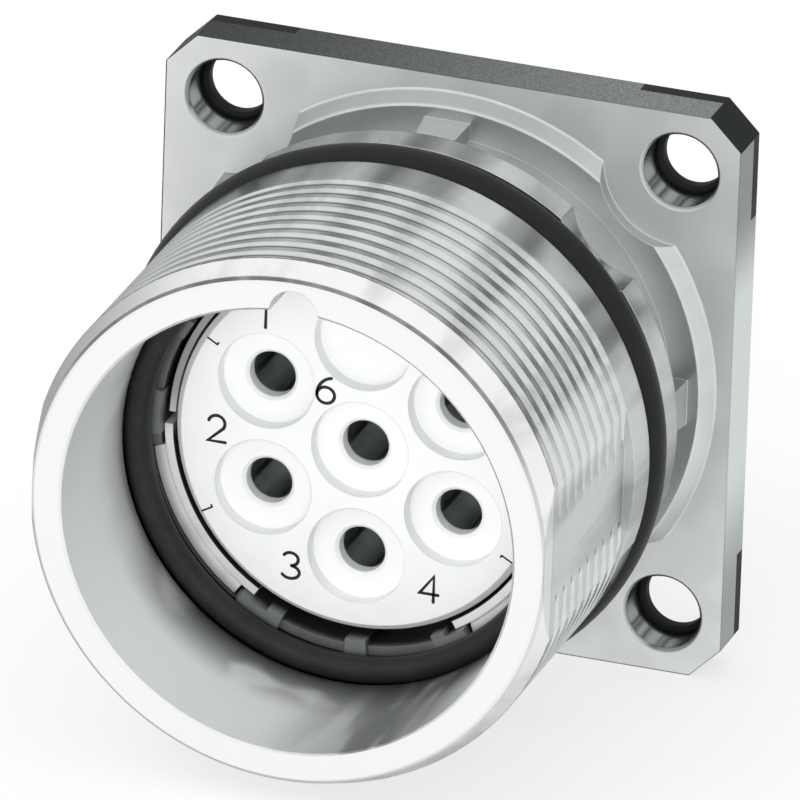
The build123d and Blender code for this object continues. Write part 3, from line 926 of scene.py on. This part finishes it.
def studio_world(stage):
    """White to the camera, and to everything else a pale studio with a few soft darker parts."""
    world = bpy.data.worlds.new("Pale studio")
    bpy.context.scene.world = world
    world.use_nodes = True
    tree = world.node_tree
    tree.nodes.clear()
    coords = new_node(tree, "ShaderNodeTexCoord")
    x, y, z = new_node(tree, "ShaderNodeSeparateXYZ", {0: coords.outputs["Generated"]}).outputs
    # The far end has darker strips, which draw streaks along the barrel
    turn = math_node(tree, "ADD", math_node(tree, "ARCTAN2", x, z), stage.strips_turn)
    strips = new_node(tree, "ShaderNodeTexNoise", {"W": turn, "Scale": 3.6, "Detail": 2.0, "Roughness": 0.6},
                      noise_dimensions="1D")
    back = zone(tree, (y, 0.35, 0.75), (z, 0.35, 0.75, 1.0, 0.0),
                (strips.outputs["Fac"], 0.49, 0.56, stage.plain_back, 1.0))
    colour = mix_colour(tree, back, (1.0, 1.0, 1.0), stage.dark_back)
    path = new_node(tree, "ShaderNodeLightPath").outputs
    shown = math_node(tree, "MAXIMUM", path["Is Glossy Ray"], path["Is Transmission Ray"])
    strength = smooth_step(tree, shown, 0.0, 1.0, stage.daylight, 1.0)
    pale = new_node(tree, "ShaderNodeBackground", {"Color": colour, "Strength": strength})
    white = new_node(tree, "ShaderNodeBackground", {"Color": (1, 1, 1, 1), "Strength": 1.0})
    choice = new_node(tree, "ShaderNodeMixShader", {0: path["Is Camera Ray"], 1: pale.outputs[0],
                                                    2: white.outputs[0]})
    new_node(tree, "ShaderNodeOutputWorld", {0: choice.outputs[0]})


def photo_camera(stage):
    """The camera, far off and with a long lens, at the photo's angle."""
    toward = Vector((math.sin(stage.azimuth) * math.cos(stage.elevation),
                     -math.cos(stage.azimuth) * math.cos(stage.elevation), math.sin(stage.elevation)))
    level = Vector((math.cos(stage.azimuth), math.sin(stage.azimuth), 0.0))
    upright = toward.cross(level)
    right = level * math.cos(stage.roll) + upright * math.sin(stage.roll)
    up = upright * math.cos(stage.roll) - level * math.sin(stage.roll)
    aim = Vector((0.0, FLANGE_FRONT, 0.0)) - right * stage.aim_left - up * stage.aim_down
    lens = bpy.data.cameras.new("photo_camera")
    lens.sensor_width = SENSOR_WIDTH
    lens.lens = stage.lens
    lens.clip_start, lens.clip_end = CLIP
    camera = bpy.data.objects.new("photo_camera", lens)
    turned = Matrix((right, up, toward)).transposed().to_4x4()
    camera.matrix_world = Matrix.Translation(aim + toward * stage.distance) @ turned
    bpy.context.scene.collection.objects.link(camera)
    bpy.context.scene.camera = camera


def paper_floor(stage):
    """The floor, in the plane of the connector's lowest point."""
    ground = cad_box[0].z
    corners = [(x * FLOOR_REACH, y * FLOOR_REACH, ground) for x, y in ((-1, -1), (1, -1), (1, 1), (-1, 1))]
    mesh = bpy.data.meshes.new("floor")
    mesh.from_pydata(corners, [], [(0, 1, 2, 3)])
    floor = bpy.data.objects.new("floor", mesh)
    bpy.context.scene.collection.objects.link(floor)
    mesh.materials.append(floor_paper(stage))


class CONNECTOR_OT_stage(bpy.types.Operator):
    """Sets up the camera, the lamps, the floor and the pale surroundings"""

    bl_idname = "connector.stage"
    bl_label = "Stage"

    def execute(self, context):
        stage = context.scene.connector_stage
        photo_camera(stage)
        paper_floor(stage)
        studio_world(stage)
        for name, (place, colour) in LAMPS.items():
            soft_lamp(f"{name}_lamp", place, colour, getattr(stage, name))
        context.scene.view_settings.view_transform = "Standard"
        return {"FINISHED"}


GROUPS = {"connector_thread": ConnectorThread, "connector_gasket": ConnectorGasket,
          "connector_print": ConnectorPrint, "connector_finish": ConnectorFinish,
          "connector_stage": ConnectorStage}
STEPS = (CONNECTOR_OT_casting, CONNECTOR_OT_thread, CONNECTOR_OT_seals, CONNECTOR_OT_gasket,
         CONNECTOR_OT_insert, CONNECTOR_OT_coding, CONNECTOR_OT_shield, CONNECTOR_OT_contacts,
         CONNECTOR_OT_back, CONNECTOR_OT_stage)


class CONNECTOR_PT_panel(bpy.types.Panel):
    """Lists the connector's pieces and their sizes and colours"""

    bl_idname = "CONNECTOR_PT_panel"
    bl_label = "Circular connector"
    bl_space_type = "VIEW_3D"
    bl_region_type = "UI"
    bl_category = "Connector"

    def draw(self, context):
        for step in STEPS:
            self.layout.operator(step.bl_idname)
        for attribute, kind in GROUPS.items():
            box = self.layout.box()
            box.label(text=kind.__doc__)
            for key in kind.__annotations__:
                box.prop(getattr(context.scene, attribute), key)


def register():
    """Registers the classes and hangs the settings on the scene."""
    for kind in (*GROUPS.values(), *STEPS, CONNECTOR_PT_panel):
        bpy.utils.register_class(kind)
    for attribute, kind in GROUPS.items():
        setattr(bpy.types.Scene, attribute, PointerProperty(type=kind))


def unregister():
    """Takes the settings and the classes away again."""
    for attribute in GROUPS:
        delattr(bpy.types.Scene, attribute)
    for kind in reversed((*GROUPS.values(), *STEPS, CONNECTOR_PT_panel)):
        bpy.utils.unregister_class(kind)


def main():
    """Registers the add-on and makes every piece in order."""
    register()
    for build in (build_place, build_patches, build_grain, build_turning):
        build()
    for step in STEPS:
        getattr(bpy.ops.connector, step.bl_idname.split(".")[1])()
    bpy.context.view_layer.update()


if __name__ == "__main__":
    main()
